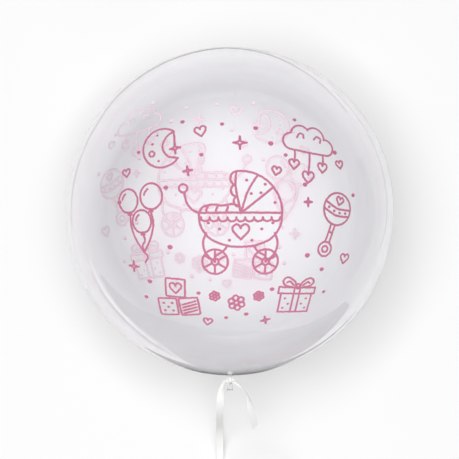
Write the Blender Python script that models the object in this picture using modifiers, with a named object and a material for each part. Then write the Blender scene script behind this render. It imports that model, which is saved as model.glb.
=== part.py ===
"""A clear film party balloon with a tied neck and a ribbon, lying on its side, in metres with +Z up.

The balloon rests on a small flat spot whose centre is the origin. Its neck points along -Y.
"""

import math

import bmesh
import bpy
from mathutils import Matrix, Vector

# The film bubble
BALLOON_DIAMETER = 0.450
FLAT_SPOT_RADIUS = 0.034
NECK_RADIUS = 0.0032
NECK_FILLET = 0.0025

# The short end of gathered film that shows past the knot
FILM_END_LENGTH = 0.0100
FILM_END_RADIUS = 0.0046
FILM_PLEATS = 8
FILM_PLEAT_SHARE = 0.14

# The ribbon
RIBBON_WIDTH = 0.0100
RIBBON_THICKNESS = 0.0012  # a real ribbon is thinner, but a solid needs some body
TAIL_ROUTE_STEPS = 3
LEAD_ROUTE_STEPS = 2

# The knot: the ribbon wound round the neck, with its hitch on top
KNOT_WRAPS = 2
KNOT_LENGTH = 0.0076
KNOT_WALL = 0.0022
HITCH_SIZE = (0.0104, 0.0066, 0.0062)

# The coil of spare ribbon and the tie that holds it
COIL_DIAMETER = 0.110
COIL_BUILD = 0.013  # how much room the turns take, from the innermost to the outermost
COIL_CENTRE_X = 0.0458
COIL_BEYOND_KNOT = 0.1954
COIL_EDGE_ROUND = 0.0015
TIE_WIDTH = 0.0080
TIE_THICKNESS = 0.0008

# Clearances
TOUCH_GAP = 0.0003
TIE_CLEARANCE = 0.0006

# Fineness of the round shapes
BUBBLE_STEPS = 64
BUBBLE_ARC_STEPS = 34
FILLET_STEPS = 4
SMALL_STEPS = 24
COIL_STEPS = 48
WRAP_ARC_STEPS = 6

BUBBLE_RADIUS = BALLOON_DIAMETER / 2
CENTRE_HEIGHT = math.sqrt(BUBBLE_RADIUS**2 - FLAT_SPOT_RADIUS**2)
# The fillet's circle touches the bubble from outside and the neck from outside.
FILLET_CENTRE_OUT = NECK_RADIUS + NECK_FILLET
NECK_START = math.sqrt((BUBBLE_RADIUS + NECK_FILLET) ** 2 - FILLET_CENTRE_OUT**2)
KNOT_INNER_RADIUS = NECK_RADIUS + TOUCH_GAP
KNOT_RADIUS = KNOT_INNER_RADIUS + KNOT_WALL
KNOT_START = NECK_START + TOUCH_GAP
KNOT_CENTRE = Vector((0, -KNOT_START - KNOT_LENGTH / 2, CENTRE_HEIGHT))
NECK_END = KNOT_START + KNOT_LENGTH + TOUCH_GAP
COIL_LIFT = TIE_THICKNESS + TIE_CLEARANCE
COIL_CENTRE = Vector((COIL_CENTRE_X, KNOT_CENTRE.y - COIL_BEYOND_KNOT, COIL_LIFT))

# The long run of ribbon: sideways, outwards from the knot's centre, height as a share of the neck's
# height, and how far it is turned on edge in degrees. It falls to the floor and stands on edge there
# to join the coil.
LEAD_ROUTE = [
    (-0.0060, 0.0010, 1.0200, 78),
    (-0.0087, 0.0074, 1.0224, 60),
    (-0.0108, 0.0138, 1.0179, 42),
    (-0.0124, 0.0209, 1.0044, 16),
    (-0.0134, 0.0280, 0.9801, 2),
    (-0.0138, 0.0350, 0.9424, 0),
    (-0.0141, 0.0420, 0.8880, 0),
    (-0.0143, 0.0492, 0.8138, 0),
    (-0.0144, 0.0560, 0.7198, 0),
    (-0.0145, 0.0625, 0.6065, 0),
    (-0.0145, 0.0686, 0.4883, 0),
    (-0.0145, 0.0751, 0.3750, 0),
    (-0.0145, 0.0831, 0.2734, 0),
    (-0.0145, 0.0928, 0.1897, 0),
    (-0.0145, 0.1045, 0.1223, 0),
    (-0.0145, 0.1184, 0.0710, 0),
    (-0.0145, 0.1336, 0.0369, 4),
    (-0.0145, 0.1491, 0.0250, 28),
    (-0.0145, 0.1640, 0.0264, 64),
    (-0.0145, 0.1792, 0.0288, 90),
]
# The short end of the ribbon: sideways, outwards and upwards from the knot's centre, and its turn.
TAIL_ROUTE = [
    (0.0060, 0.0010, 0.0042, 62),
    (0.0122, 0.0056, 0.0054, 52),
    (0.0182, 0.0112, 0.0046, 50),
    (0.0238, 0.0190, 0.0008, 66),
    (0.0272, 0.0268, -0.0078, 84),
    (0.0288, 0.0345, -0.0200, 38),
    (0.0306, 0.0430, -0.0345, 14),
    (0.0332, 0.0522, -0.0500, 6),
    (0.0358, 0.0616, -0.0665, 0),
    (0.0384, 0.0712, -0.0835, -6),
]


def clear_scene():
    for old in list(bpy.data.objects):
        bpy.data.objects.remove(old)


def new_collection(name):
    collection = bpy.data.collections.new(name)
    bpy.context.scene.collection.children.link(collection)
    return collection


def new_material(name, colour, roughness, transmission=0.0):
    material = bpy.data.materials.new(name)
    material.use_nodes = True
    shader = material.node_tree.nodes["Principled BSDF"]
    shader.inputs["Base Color"].default_value = (*colour, 1)
    shader.inputs["Roughness"].default_value = roughness
    shader.inputs["Metallic"].default_value = 0.0
    shader.inputs["Transmission Weight"].default_value = transmission
    return material


def new_object(name, mesh, collection, parent=None, material=None):
    made = bpy.data.objects.new(name, mesh)
    collection.objects.link(made)
    made.parent = parent
    if material:
        mesh.materials.append(material)
    return made


def mesh_from(builder, name):
    """The bmesh as a named mesh, with its faces turned outwards."""
    bmesh.ops.recalc_face_normals(builder, faces=builder.faces)
    mesh = bpy.data.meshes.new(name)
    builder.to_mesh(mesh)
    builder.free()
    return mesh


def shade_round(mesh, sharp_degrees=40):
    mesh.shade_smooth()
    mesh.set_sharp_from_angle(angle=math.radians(sharp_degrees))


def profile_mesh(name, points, closed):
    """A chain of edges through (radius, height) points, ready for a Screw modifier."""
    builder = bmesh.new()
    verts = [builder.verts.new((radius, 0, height)) for radius, height in points]
    for a, b in zip(verts, verts[1:] + verts[:1] if closed else verts[1:]):
        builder.edges.new((a, b))
    mesh = bpy.data.meshes.new(name)
    builder.to_mesh(mesh)
    builder.free()
    return mesh


def turn_about_z(made, steps):
    screw = made.modifiers.new("turned", "SCREW")
    screw.axis = "Z"
    screw.angle = 2 * math.pi
    screw.steps = steps
    screw.render_steps = steps
    screw.use_merge_vertices = True
    screw.merge_threshold = 0.00001
    screw.use_smooth_shade = True


def apply_modifiers(made):
    """Replace the object's mesh by the shape that its modifiers give."""
    evaluated = made.evaluated_get(bpy.context.evaluated_depsgraph_get())
    mesh = bpy.data.meshes.new_from_object(evaluated)
    made.modifiers.clear()
    made.data = mesh
    return mesh


def boolean(made, other, operation):
    step = made.modifiers.new(operation.lower(), "BOOLEAN")
    step.object = other
    step.operation = operation
    step.solver = "EXACT"


def as_cutter(made):
    made.hide_render = True
    made.display_type = "WIRE"


def arc(centre, radius, start, end, steps):
    """Points on a circle, angles in radians from the +X side towards +Z."""
    points = []
    for i in range(steps + 1):
        angle = start + (end - start) * i / steps
        points.append((centre[0] + radius * math.cos(angle), centre[1] + radius * math.sin(angle)))
    return points


def envelope_profile():
    """From the far pole round the bubble, in at the neck, through the knot and out at the film end."""
    touch = math.atan2(-NECK_START, FILLET_CENTRE_OUT)
    bubble = arc((0, 0), BUBBLE_RADIUS, math.pi / 2, touch, BUBBLE_ARC_STEPS)
    bubble[0] = (0.0, BUBBLE_RADIUS)
    fillet_centre = (FILLET_CENTRE_OUT, -NECK_START)
    fillet = arc(fillet_centre, NECK_FILLET, touch + math.pi, math.pi, FILLET_STEPS)
    flare = []
    for share in (0.0, 0.35, 0.7, 1.0):
        swell = (FILM_END_RADIUS - NECK_RADIUS) * math.sin(share * math.pi / 2)
        flare.append((NECK_RADIUS + swell, -NECK_END - share * FILM_END_LENGTH))
    tip = [(0.0, -NECK_END - FILM_END_LENGTH)]
    return bubble + fillet[1:] + flare + tip


def gather_film_end(mesh):
    """Press pleats into the film end, deeper towards its edge."""
    for vertex in mesh.vertices:
        past_knot = -vertex.co.z - NECK_END
        out = math.hypot(vertex.co.x, vertex.co.y)
        if past_knot > 0 and out > 0:
            turn = math.atan2(vertex.co.y, vertex.co.x)
            share = FILM_PLEAT_SHARE * past_knot / FILM_END_LENGTH
            vertex.co.xy *= 1 + share * math.cos(FILM_PLEATS * turn)


def make_envelope(parts, cutters, parent):
    """The sealed bubble of film, turned about its own axis and laid on its flat spot."""
    film = new_material("clear_film", (0.86, 0.88, 0.90), 0.05, transmission=1.0)
    profile = profile_mesh("balloon_envelope", envelope_profile(), closed=False)
    envelope = new_object("balloon_envelope", profile, parts, parent, film)
    turn_about_z(envelope, BUBBLE_STEPS)
    gather_film_end(apply_modifiers(envelope))
    envelope.location = (0, 0, CENTRE_HEIGHT)
    envelope.rotation_euler = (-math.pi / 2, 0, 0)

    builder = bmesh.new()
    bmesh.ops.create_cube(builder, size=BALLOON_DIAMETER)
    floor = new_object("floor_cutter", mesh_from(builder, "floor_cutter"), cutters)
    floor.location = (0, 0, -BALLOON_DIAMETER / 2)
    as_cutter(floor)
    boolean(envelope, floor, "DIFFERENCE")


def knot_profile():
    """A ring section whose outside has one round bead for each wrap of the ribbon."""
    bead = KNOT_LENGTH / KNOT_WRAPS
    waist = KNOT_RADIUS - KNOT_WALL * 0.35
    points = [(KNOT_INNER_RADIUS, KNOT_LENGTH / 2)]
    for wrap in range(KNOT_WRAPS):
        top = KNOT_LENGTH / 2 - wrap * bead
        for i in range(WRAP_ARC_STEPS + 1):
            share = i / WRAP_ARC_STEPS
            swell = (KNOT_RADIUS - waist) * math.sin(share * math.pi)
            points.append((waist + swell, top - share * bead))
        if wrap < KNOT_WRAPS - 1:
            points.pop()
    points.append((KNOT_INNER_RADIUS, -KNOT_LENGTH / 2))
    return points


def make_knot(parts, cutters, parent, satin):
    """Two wraps of ribbon round the neck, with the hitch between its two ends on the upper side."""
    profile = profile_mesh("ribbon_knot", knot_profile(), closed=True)
    knot = new_object("ribbon_knot", profile, parts, parent, satin)
    turn_about_z(knot, SMALL_STEPS)
    knot.location = KNOT_CENTRE
    knot.rotation_euler = (-math.pi / 2, 0, 0)

    builder = bmesh.new()
    bmesh.ops.create_uvsphere(builder, u_segments=16, v_segments=10, radius=0.5)
    bmesh.ops.scale(builder, vec=HITCH_SIZE, verts=builder.verts)
    hitch = new_object("knot_hitch", mesh_from(builder, "knot_hitch"), cutters)
    hitch.location = KNOT_CENTRE + Vector((0, 0, KNOT_RADIUS))
    as_cutter(hitch)
    boolean(knot, hitch, "UNION")

    builder = bmesh.new()
    bmesh.ops.create_cone(
        builder,
        cap_ends=True,
        segments=SMALL_STEPS,
        radius1=KNOT_INNER_RADIUS,
        radius2=KNOT_INNER_RADIUS,
        depth=KNOT_LENGTH * 2,
    )
    neck_way = new_object("neck_way", mesh_from(builder, "neck_way"), cutters)
    neck_way.location = KNOT_CENTRE
    neck_way.rotation_euler = (-math.pi / 2, 0, 0)
    as_cutter(neck_way)
    boolean(knot, neck_way, "DIFFERENCE")


def through_points(points, steps):
    """A smooth curve through the points, with each number of a point eased in the same way."""
    ends = [
        [2 * a - b for a, b in zip(points[0], points[1])],
        [2 * a - b for a, b in zip(points[-1], points[-2])],
    ]
    padded = [ends[0], *points, ends[1]]
    smooth = []
    for before, start, end, after in zip(padded, padded[1:], padded[2:], padded[3:]):
        for i in range(steps):
            t = i / steps
            smooth.append(
                [
                    0.5 * (2 * b + (c - a) * t + (2 * a - 5 * b + 4 * c - d) * t**2
                           + (3 * b - a - 3 * c + d) * t**3)
                    for a, b, c, d in zip(before, start, end, after)
                ]
            )
    smooth.append(list(points[-1]))
    return smooth


def ribbon_stations(route):
    """One frame for each point of the route: the ribbon's width along X, its thickness along Y."""
    places = [Vector(point[:3]) for point in route]
    stations = []
    for i, place in enumerate(places):
        onward = places[min(i + 1, len(places) - 1)] - places[max(i - 1, 0)]
        onward.normalize()
        level = onward.cross(Vector((0, 0, 1))).normalized()
        across = Matrix.Rotation(math.radians(route[i][3]), 3, onward) @ level
        face = onward.cross(across)
        turn = Matrix((across, face, onward)).transposed().to_4x4()
        stations.append(Matrix.Translation(place) @ turn)
    return stations


def ribbon_mesh(name, route):
    """A flat band drawn along the route: its end face is extruded from station to station."""
    stations = ribbon_stations(route)
    builder = bmesh.new()
    section = bmesh.ops.create_grid(builder, x_segments=1, y_segments=1, size=0.5)["verts"]
    bmesh.ops.scale(builder, vec=(RIBBON_WIDTH, RIBBON_THICKNESS, 1), verts=section)
    bmesh.ops.transform(builder, matrix=stations[0], verts=section)
    end = list(builder.faces)
    for i, (here, there) in enumerate(zip(stations, stations[1:])):
        grown = bmesh.ops.extrude_face_region(builder, geom=end)["geom"]
        corners = [part for part in grown if isinstance(part, bmesh.types.BMVert)]
        bmesh.ops.transform(builder, matrix=there @ here.inverted(), verts=corners)
        if i > 0:
            bmesh.ops.delete(builder, geom=end, context="FACES_ONLY")
        end = [part for part in grown if isinstance(part, bmesh.types.BMFace)]
    return mesh_from(builder, name)


def make_lead(parts, parent, satin):
    """The long run of ribbon, from the knot down to the floor and along it to the coil."""
    points = [
        (x, KNOT_CENTRE.y - out, share * CENTRE_HEIGHT, turn) for x, out, share, turn in LEAD_ROUTE
    ]
    mesh = ribbon_mesh("ribbon_lead", through_points(points, LEAD_ROUTE_STEPS))
    shade_round(mesh)
    new_object("ribbon_lead", mesh, parts, parent, satin)


def make_tail(parts, parent, satin):
    """The short end of the ribbon, which droops freely from the knot."""
    points = [(x, -out, up, turn) for x, out, up, turn in TAIL_ROUTE]
    mesh = ribbon_mesh("ribbon_tail", through_points(points, TAIL_ROUTE_STEPS))
    shade_round(mesh)
    tail = new_object("ribbon_tail", mesh, parts, parent, satin)
    tail.location = KNOT_CENTRE


def coil_profile():
    """The coil's section: as wide as its turns take and as high as the ribbon on edge."""
    inner = COIL_DIAMETER / 2 - COIL_BUILD / 2
    outer = COIL_DIAMETER / 2 + COIL_BUILD / 2
    edge = COIL_EDGE_ROUND
    top = RIBBON_WIDTH
    return [
        (outer - edge, top),
        (outer, top - edge),
        (outer, edge),
        (outer - edge, 0),
        (inner + edge, 0),
        (inner, edge),
        (inner, top - edge),
        (inner + edge, top),
    ]


def make_coil(parts, parent, satin):
    """The spare ribbon wound on edge, as one ring."""
    profile = profile_mesh("ribbon_coil", coil_profile(), closed=True)
    coil = new_object("ribbon_coil", profile, parts, parent, satin)
    turn_about_z(coil, COIL_STEPS)
    coil.location = COIL_CENTRE


def box_mesh(name, size):
    builder = bmesh.new()
    bmesh.ops.create_cube(builder, size=1)
    bmesh.ops.scale(builder, vec=size, verts=builder.verts)
    return mesh_from(builder, name)


def make_tie(parts, cutters, parent, satin):
    """A short loop of ribbon round the coil, at the side away from the balloon."""
    way = (TIE_WIDTH * 2, COIL_BUILD + 2 * TIE_CLEARANCE, RIBBON_WIDTH + 2 * TIE_CLEARANCE)
    outside = (TIE_WIDTH, way[1] + 2 * TIE_THICKNESS, way[2] + 2 * TIE_THICKNESS)
    centre = COIL_CENTRE + Vector((0, -COIL_DIAMETER / 2, RIBBON_WIDTH / 2))
    tie = new_object("coil_tie", box_mesh("coil_tie", outside), parts, parent, satin)
    tie.location = centre
    coil_way = new_object("coil_way", box_mesh("coil_way", way), cutters)
    coil_way.location = centre
    as_cutter(coil_way)
    boolean(tie, coil_way, "DIFFERENCE")


def main():
    clear_scene()
    parts = new_collection("party_balloon")
    cutters = new_collection("cutters")
    root = bpy.data.objects.new("party_balloon", None)
    parts.objects.link(root)
    satin = {
        name: new_material(f"{name}_white_ribbon", (0.93, 0.93, 0.92), 0.4)
        for name in ("knot", "lead", "tail", "coil", "tie")
    }
    make_envelope(parts, cutters, root)
    make_knot(parts, cutters, root, satin["knot"])
    make_lead(parts, root, satin["lead"])
    make_tail(parts, root, satin["tail"])
    make_coil(parts, root, satin["coil"])
    make_tie(parts, cutters, root, satin["tie"])


main()
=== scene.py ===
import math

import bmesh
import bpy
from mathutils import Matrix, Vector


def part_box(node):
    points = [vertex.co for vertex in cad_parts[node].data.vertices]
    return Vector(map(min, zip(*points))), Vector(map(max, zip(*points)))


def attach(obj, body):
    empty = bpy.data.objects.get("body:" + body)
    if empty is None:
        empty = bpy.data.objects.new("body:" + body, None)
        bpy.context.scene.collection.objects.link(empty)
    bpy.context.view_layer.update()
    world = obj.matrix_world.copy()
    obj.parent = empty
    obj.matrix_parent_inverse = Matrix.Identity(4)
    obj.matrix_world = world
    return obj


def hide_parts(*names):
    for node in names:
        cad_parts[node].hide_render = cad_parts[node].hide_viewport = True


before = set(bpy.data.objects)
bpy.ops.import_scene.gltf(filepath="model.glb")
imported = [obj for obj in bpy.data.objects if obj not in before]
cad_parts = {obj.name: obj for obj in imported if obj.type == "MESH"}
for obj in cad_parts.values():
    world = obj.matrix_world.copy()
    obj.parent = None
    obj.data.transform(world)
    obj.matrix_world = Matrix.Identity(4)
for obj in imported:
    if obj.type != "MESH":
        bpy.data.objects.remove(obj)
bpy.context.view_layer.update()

# %% [markdown]
# # A clear film party balloon
#
# The object is a round balloon of clear stretch film, 45 cm across, printed with pink line drawings on its
# front and again on its back. A white ribbon is tied round the neck. The balloon lies on its side on a small
# flat spot, with its neck towards -Y and its printed front up, so the camera looks straight down on it.
#
# Three things make it look real: a wall of film so thin that light goes straight through it, a print that
# follows the curve, and a ribbon that bends and twists as a flat strip does.

MM = 0.001
envelope_low, envelope_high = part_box("balloon_envelope")
knot_low, knot_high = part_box("ribbon_knot")
coil_low, coil_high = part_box("ribbon_coil")
tie_low, tie_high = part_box("coil_tie")

BUBBLE_RADIUS = envelope_high.y
CENTRE_HEIGHT = envelope_high.z - BUBBLE_RADIUS
BUBBLE_CENTRE = Vector((0, 0, CENTRE_HEIGHT))
KNOT_CENTRE = Vector((0, (knot_low.y + knot_high.y) / 2, CENTRE_HEIGHT))
print(f"bubble radius {BUBBLE_RADIUS:.4f} m, centre {CENTRE_HEIGHT:.4f} m above the floor")

# %% [markdown]
# ## The camera
#
# The photo was taken from far away with a long lens, so the bubble's outline is almost the true circle. The
# bubble's width in the picture gives the size of one pixel, and the distance fixes the lens.

# %% Camera straight above the balloon
PICTURE_PX = 459
BUBBLE_WIDTH_PX = 328
BUBBLE_CENTRE_PX = (230, 211)
CAMERA_DISTANCE = 4.0
SENSOR_MM = 36

METRES_PER_PX = 2 * BUBBLE_RADIUS / BUBBLE_WIDTH_PX


def make_camera():
    camera = bpy.data.cameras.new("camera")
    camera.sensor_width = SENSOR_MM
    camera.lens = SENSOR_MM * CAMERA_DISTANCE / (PICTURE_PX * METRES_PER_PX)
    placed = bpy.data.objects.new("camera", camera)
    bpy.context.scene.collection.objects.link(placed)
    across = (PICTURE_PX / 2 - BUBBLE_CENTRE_PX[0]) * METRES_PER_PX
    up = (BUBBLE_CENTRE_PX[1] - PICTURE_PX / 2) * METRES_PER_PX
    placed.location = BUBBLE_CENTRE + Vector((across, up, CAMERA_DISTANCE))
    bpy.context.scene.camera = placed
    return placed


camera = make_camera()
print(f"lens {camera.data.lens:.0f} mm, looking at {camera.location.x:.4f}, {camera.location.y:.4f}")

# %% [markdown]
# ## Helpers for colour and materials
#
# Colours are picked as sRGB hex values, as on a colour card, and Blender wants linear numbers, so one
# function turns them round. Another adds a node with its settings and its links in one call.

# %% Colour and node helpers
def linear(hex_code):
    """An sRGB hex colour as the linear RGBA that a shader socket takes."""
    values = [int(hex_code[i : i + 2], 16) / 255 for i in (1, 3, 5)]
    return tuple(v / 12.92 if v <= 0.04045 else ((v + 0.055) / 1.055) ** 2.4 for v in values) + (1,)


def add_node(tree, kind, settings=None, inputs=None, links=None):
    """A node with its settings, its input values and the sockets that feed its inputs."""
    node = tree.nodes.new(kind)
    for name, value in (settings or {}).items():
        setattr(node, name, value)
    for name, value in (inputs or {}).items():
        node.inputs[name].default_value = value
    for name, socket in (links or {}).items():
        tree.links.new(socket, node.inputs[name])
    return node


def new_material(name):
    """An empty material with only its output node."""
    material = bpy.data.materials.new(name)
    material.use_nodes = True
    material.node_tree.nodes.clear()
    return material, material.node_tree


def finish_piece(name, builder, material, body="root", sharp_degrees=40):
    """Turn a bmesh into a named piece that rides on a body."""
    mesh = bpy.data.meshes.new(name)
    builder.to_mesh(mesh)
    builder.free()
    mesh.shade_smooth()
    mesh.set_sharp_from_angle(angle=math.radians(sharp_degrees))
    mesh.materials.append(material)
    piece = bpy.data.objects.new(name, mesh)
    bpy.context.scene.collection.objects.link(piece)
    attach(piece, body)
    print(f"{name}: {len(mesh.polygons)} faces")
    return piece


# %% [markdown]
# ## The ribbon's material
#
# Balloon ribbon is polypropylene film, drawn and embossed with fine ridges across it, so it shines softly
# along its length. The ridges are about 0.7 mm apart. The ribbon's own distances, across and along, are
# kept on its points, so the ridges follow every bend and twist.

# %% White polypropylene ribbon
RIDGE_MM = 0.7
RIDGE_SLANT = 0.35
RIDGE_DEPTH = 0.05 * MM
RIDGE_STRENGTH = 0.25
RIBBON_WHITE = "#F1F1F0"
RIBBON_ROUGHNESS = 0.38
POLYPROPYLENE_IOR = 1.49


def make_ribbon_material():
    material, tree = new_material("embossed_white_polypropylene")
    place = add_node(tree, "ShaderNodeAttribute", {"attribute_name": "ribbon_mm"})
    split = add_node(tree, "ShaderNodeSeparateXYZ", links={"Vector": place.outputs["Vector"]})
    slant = add_node(
        tree,
        "ShaderNodeMath",
        {"operation": "MULTIPLY_ADD"},
        inputs={1: RIDGE_SLANT},
        links={0: split.outputs["X"], 2: split.outputs["Y"]},
    )
    turns = add_node(
        tree,
        "ShaderNodeMath",
        {"operation": "MULTIPLY"},
        inputs={1: 2 * math.pi / RIDGE_MM},
        links={0: slant.outputs[0]},
    )
    ridge = add_node(tree, "ShaderNodeMath", {"operation": "SINE"}, links={0: turns.outputs[0]})
    bump = add_node(
        tree,
        "ShaderNodeBump",
        inputs={"Strength": RIDGE_STRENGTH, "Distance": RIDGE_DEPTH},
        links={"Height": ridge.outputs[0]},
    )
    shader = add_node(
        tree,
        "ShaderNodeBsdfPrincipled",
        inputs={"Base Color": linear(RIBBON_WHITE), "Roughness": RIBBON_ROUGHNESS, "IOR": POLYPROPYLENE_IOR},
        links={"Normal": bump.outputs["Normal"]},
    )
    add_node(tree, "ShaderNodeOutputMaterial", links={"Surface": shader.outputs[0]})
    return material


ribbon_material = make_ribbon_material()
print(f"{ribbon_material.name}: ridges {RIDGE_MM} mm apart")

# %% [markdown]
# ## A flat strip along a route
#
# A ribbon can't stretch sideways, so it turns and twists but keeps its width. The route is a list of points
# with a turn at each one: 0 degrees lies flat and 90 degrees stands on edge. A small grid of faces, the
# ribbon's cut end, is extruded from station to station. Where the ribbon leaves the knot its section is
# gathered into a U, which opens out over the first two centimetres.

# %% Smooth routes and frames
RIBBON_WIDTH = 10 * MM
RIBBON_THICKNESS = 0.25 * MM
STRIPS_ACROSS = 6
RESTING_CUP = math.radians(14)


def through_points(points, steps):
    """A smooth curve through the points, with each number of a point eased in the same way."""
    first = [2 * a - b for a, b in zip(points[0], points[1])]
    last = [2 * a - b for a, b in zip(points[-1], points[-2])]
    padded = [first, *points, last]
    smooth = []
    for before, start, end, after in zip(padded, padded[1:], padded[2:], padded[3:]):
        for i in range(steps):
            t = i / steps
            smooth.append(
                [
                    0.5 * (2 * b + (c - a) * t + (2 * a - 5 * b + 4 * c - d) * t**2
                           + (3 * b - a - 3 * c + d) * t**3)
                    for a, b, c, d in zip(before, start, end, after)
                ]
            )
    smooth.append(list(points[-1]))
    return smooth


def ribbon_stations(route):
    """For each point of the route, its place and the directions across, off the face and onward."""
    places = [Vector(point[:3]) for point in route]
    stations = []
    for i, place in enumerate(places):
        onward = places[min(i + 1, len(places) - 1)] - places[max(i - 1, 0)]
        onward.normalize()
        level = onward.cross(Vector((0, 0, 1))).normalized()
        across = Matrix.Rotation(math.radians(route[i][3]), 3, onward) @ level
        stations.append((place, across, onward.cross(across), onward))
    return stations


# %% The strip itself
def section_point(station, across_share, side, cup):
    """A point of the ribbon's section, which is an arc that turns through the angle cup."""
    place, across, face, _ = station
    turn = across_share * cup / 2
    radius = RIBBON_WIDTH / cup
    middle = math.sin(cup / 2) / (cup / 2)
    out = radius + side * RIBBON_THICKNESS / 2
    return place + across * out * math.sin(turn) + face * (out * math.cos(turn) - radius * middle)


def ribbon_strip(route, cup_at, slant_at_end=0.0):
    """The ribbon along a route. cup_at gives its section's angle at a distance from the start."""
    stations = ribbon_stations(route)
    builder = bmesh.new()
    corner = builder.verts.layers.float_vector.new("section")
    own_mm = builder.verts.layers.float_vector.new("ribbon_mm")
    start = bmesh.ops.create_grid(builder, x_segments=STRIPS_ACROSS, y_segments=1, size=0.5)["verts"]
    for vertex in start:
        vertex[corner] = (2 * vertex.co.x, math.copysign(1, vertex.co.y), 0)

    def place_section(verts, station, along):
        for vertex in verts:
            share, side, _ = vertex[corner]
            vertex.co = section_point(station, share, side, cup_at(along))
            vertex[own_mm] = (share * RIBBON_WIDTH / 2 / MM, along / MM, 0)

    along = 0.0
    place_section(start, stations[0], along)
    end = list(builder.faces)
    verts = start
    for i, (here, there) in enumerate(zip(stations, stations[1:])):
        along += (there[0] - here[0]).length
        grown = bmesh.ops.extrude_face_region(builder, geom=end)["geom"]
        verts = [part for part in grown if isinstance(part, bmesh.types.BMVert)]
        place_section(verts, there, along)
        if i > 0:
            bmesh.ops.delete(builder, geom=end, context="FACES_KEEP_BOUNDARY")
        end = [part for part in grown if isinstance(part, bmesh.types.BMFace)]
    for vertex in verts:
        vertex.co += stations[-1][3] * vertex[corner][0] * slant_at_end
    bmesh.ops.recalc_face_normals(builder, faces=builder.faces)
    return builder, [station[0] for station in stations]


def gathered(knot_cup, opens_over):
    """A section that starts folded to knot_cup and opens to its resting curve."""

    def cup_at(along):
        share = min(along / opens_over, 1.0)
        eased = share * share * (3 - 2 * share)
        return knot_cup + (RESTING_CUP - knot_cup) * eased

    return cup_at


# %% [markdown]
# ## The ribbon's long end
#
# It leaves the left side of the knot, bends down over about 25 mm of radius, falls to the floor and runs
# away from the balloon. The photo loses it at its lower edge. Such ribbons are cut about 1.2 m long, so the
# rest is put away in a small coil on the floor just outside the picture: wound on edge, as it comes off a
# reel, with its turns a few millimetres apart.

# %% Route of the long end
LEAD_ROUTE = [
    (-0.0060, 0.0010, 1.0200, 78),
    (-0.0087, 0.0074, 1.0224, 60),
    (-0.0108, 0.0138, 1.0179, 42),
    (-0.0124, 0.0209, 1.0044, 16),
    (-0.0134, 0.0280, 0.9801, 2),
    (-0.0138, 0.0350, 0.9424, 0),
    (-0.0141, 0.0420, 0.8880, 0),
    (-0.0143, 0.0492, 0.8138, 0),
    (-0.0144, 0.0560, 0.7198, 0),
    (-0.0145, 0.0625, 0.6065, 0),
    (-0.0145, 0.0686, 0.4883, 0),
    (-0.0145, 0.0751, 0.3750, 0),
    (-0.0145, 0.0831, 0.2734, 0),
    (-0.0145, 0.0928, 0.1897, 0),
    (-0.0145, 0.1045, 0.1223, 0),
    (-0.0145, 0.1184, 0.0710, 0),
    (-0.0145, 0.1336, 0.0369, 4),
    (-0.0145, 0.1491, 0.0250, 28),
    (-0.0145, 0.1640, 0.0264, 64),
    (-0.0145, 0.1792, 0.0288, 90),
]
LEAD_STEPS = 5
COIL_TURNS = 2.3
COIL_INSET = 1.2 * MM
COIL_PLAY_IN_TIE = 4 * MM
COIL_POINTS_A_TURN = 72
ON_EDGE_DEGREES = 90

COIL_CENTRE = (coil_low + coil_high) / 2
COIL_OUTER = (coil_high.x - coil_low.x) / 2 - COIL_INSET
COIL_BUILD = tie_high.y - tie_low.y - COIL_PLAY_IN_TIE


def coil_route():
    """The turns of the coil, from its outermost point on the left side inwards."""
    points = []
    count = round(COIL_TURNS * COIL_POINTS_A_TURN)
    for i in range(1, count + 1):
        angle = math.pi + 2 * math.pi * i / COIL_POINTS_A_TURN
        radius = COIL_OUTER - COIL_BUILD * i / count
        x = COIL_CENTRE.x + radius * math.cos(angle)
        y = COIL_CENTRE.y + radius * math.sin(angle)
        points.append((x, y, COIL_CENTRE.z, ON_EDGE_DEGREES))
    return points


def long_end_route():
    lead = [(x, KNOT_CENTRE.y - out, share * CENTRE_HEIGHT, turn) for x, out, share, turn in LEAD_ROUTE]
    touch = (COIL_CENTRE.x - COIL_OUTER, COIL_CENTRE.y, COIL_CENTRE.z, ON_EDGE_DEGREES)
    return through_points(lead + [touch], LEAD_STEPS) + coil_route()


KNOT_CUP = math.radians(200)
OPENS_OVER = 22 * MM

builder, long_path = ribbon_strip(long_end_route(), gathered(KNOT_CUP, OPENS_OVER))
ribbon_long_end = finish_piece("ribbon_long_end", builder, ribbon_material)
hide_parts("ribbon_lead", "ribbon_coil")

# %% [markdown]
# ## The ribbon's short end
#
# The short end leaves the right side of the knot, turns on edge so that the camera sees it as a thin line,
# then turns its face to the camera and droops. It is cut on a slant, as scissors leave it.

# %% Route of the short end
TAIL_ROUTE = [
    (0.0060, 0.0010, 0.0042, 66),
    (0.0122, 0.0056, 0.0054, 72),
    (0.0182, 0.0112, 0.0046, 76),
    (0.0236, 0.0186, 0.0008, 78),
    (0.0266, 0.0264, -0.0078, 64),
    (0.0280, 0.0341, -0.0200, 30),
    (0.0294, 0.0426, -0.0345, -4),
    (0.0314, 0.0518, -0.0500, -14),
    (0.0336, 0.0612, -0.0665, -18),
    (0.0358, 0.0708, -0.0835, -20),
]
TAIL_STEPS = 6
TAIL_SLANT = 2.5 * MM


def short_end_route():
    points = [(KNOT_CENTRE.x + x, KNOT_CENTRE.y - out, CENTRE_HEIGHT + up, turn) for x, out, up, turn in TAIL_ROUTE]
    return through_points(points, TAIL_STEPS)


builder, short_path = ribbon_strip(short_end_route(), gathered(KNOT_CUP, OPENS_OVER), TAIL_SLANT)
ribbon_short_end = finish_piece("ribbon_short_end", builder, ribbon_material)
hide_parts("ribbon_tail")

# %% [markdown]
# ## The tie round the coil
#
# A short loop of the same ribbon keeps the coil together. It starts as one flat rectangle: its corners are
# rounded with a bevel, its face is taken away and its edges are drawn out to a sleeve.

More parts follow.
